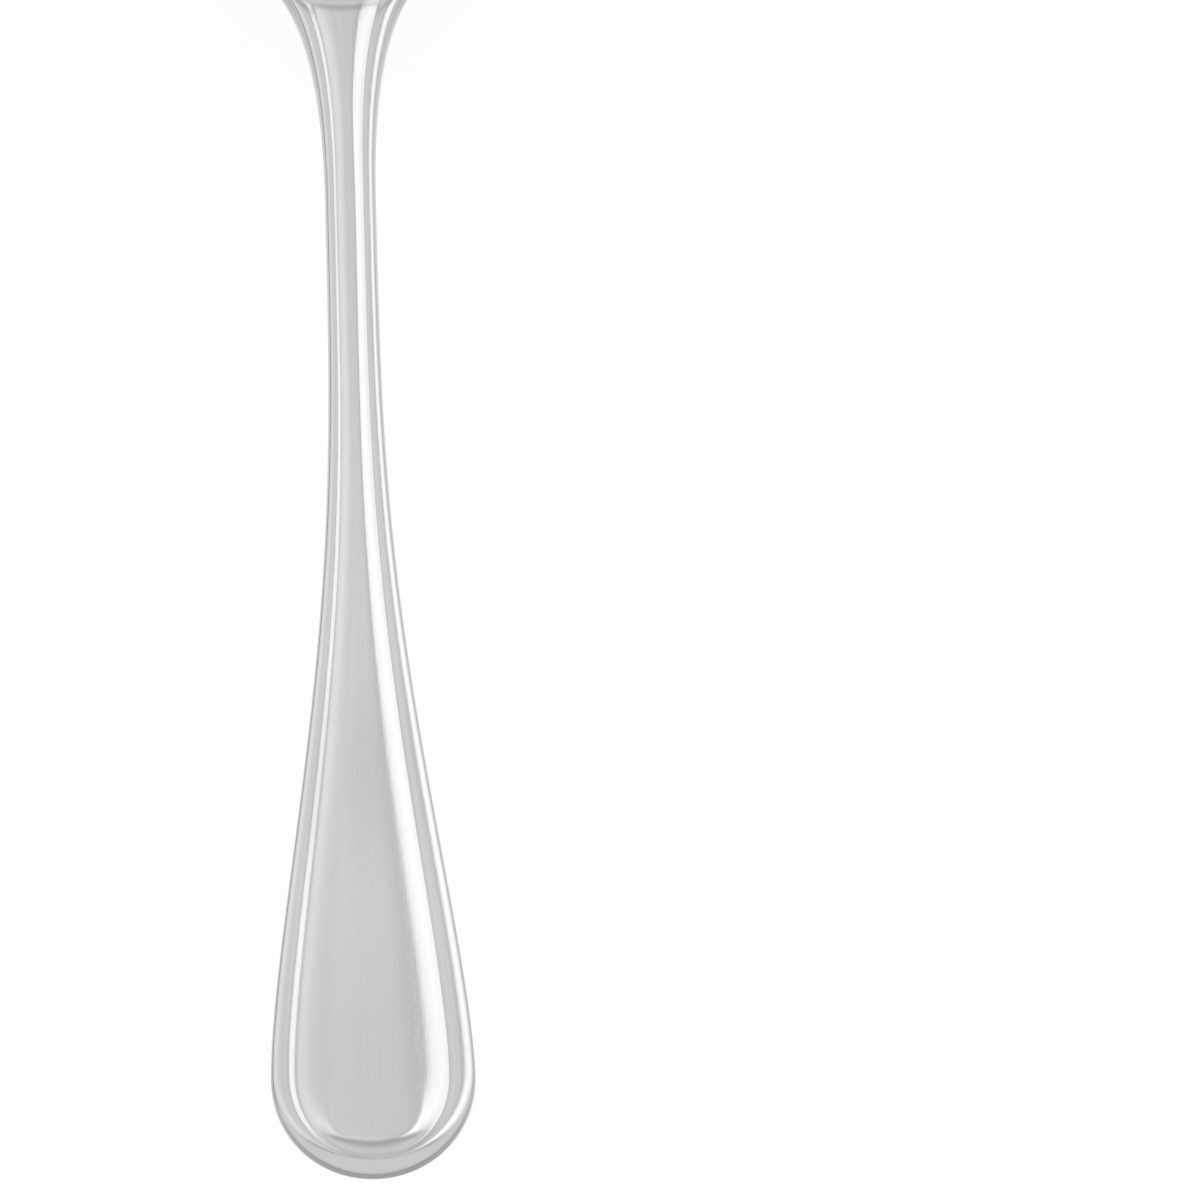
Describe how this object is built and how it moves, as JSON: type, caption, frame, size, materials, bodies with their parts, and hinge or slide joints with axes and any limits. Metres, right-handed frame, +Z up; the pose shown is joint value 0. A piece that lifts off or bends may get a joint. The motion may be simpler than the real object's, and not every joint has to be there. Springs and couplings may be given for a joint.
{
  "type": "iced tea spoon",
  "caption": "Long-handled iced tea spoon with a deep oval bowl, a slender stem and a paddle handle edged with a raised thread.",
  "frame": {"origin": "middle of the spoon's length and width, on the surface that it lies on", "axes": "+Y from the handle's tip to the bowl's tip, +Z up out of the open bowl, +X to the right seen from above with the bowl away from the viewer"},
  "size_m": [0.0318, 0.19, 0.0124],
  "materials": {
    "polished_steel": "polished"
  },
  "bodies": {
    "root": {"bowl": "polished_steel", "neck": "polished_steel", "stem": "polished_steel", "handle_end": "polished_steel"}
  },
  "joints": []
}
